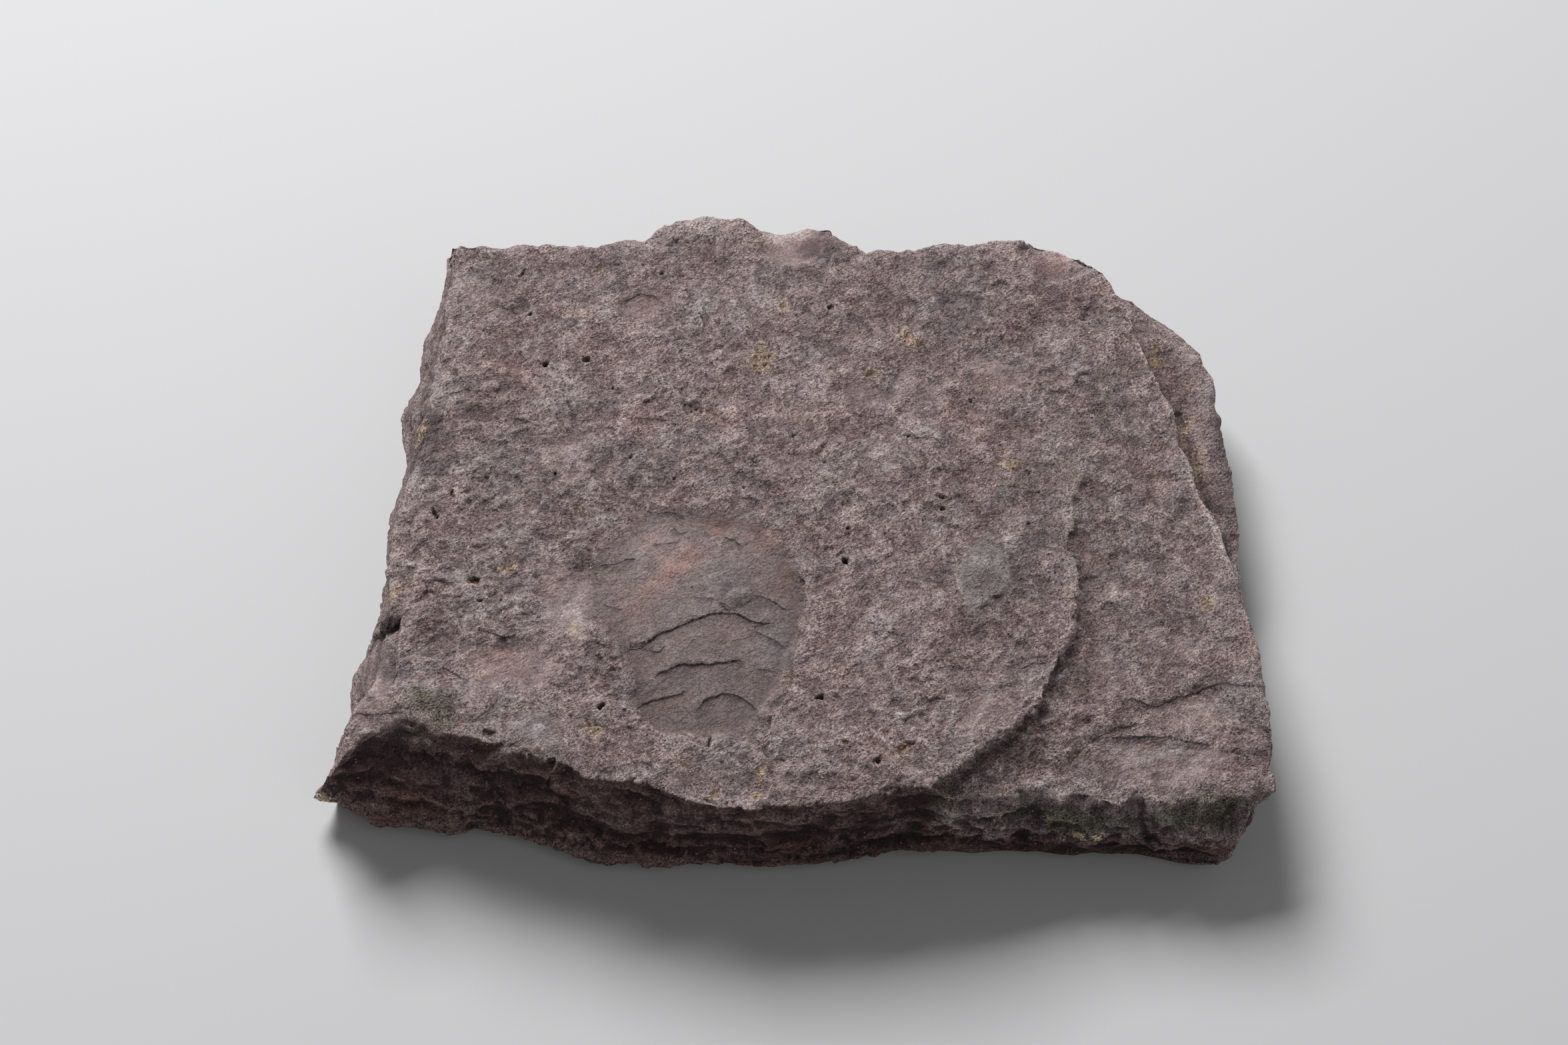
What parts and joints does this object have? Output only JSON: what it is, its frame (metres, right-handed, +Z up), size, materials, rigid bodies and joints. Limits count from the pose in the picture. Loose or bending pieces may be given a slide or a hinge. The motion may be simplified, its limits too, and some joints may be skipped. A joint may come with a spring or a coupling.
{
  "type": "fossil rock slab",
  "caption": "Broken slab of purple-grey rock with a smooth shell-shaped scar and small weathered fossil pits, lying flat.",
  "frame": {"origin": "under the middle of the slab's outer box, on the plane that its flat base rests on", "axes": "+Z up out of the broken upper face; +X along the slab's length, towards the end with the lower bed; +Y towards the straight back edge"},
  "size_m": [0.1984, 0.1426, 0.0339],
  "materials": {
    "stone": "matt, freshly broken and weathered rock"
  },
  "bodies": {
    "root": {"slab": "stone"}
  },
  "joints": []
}
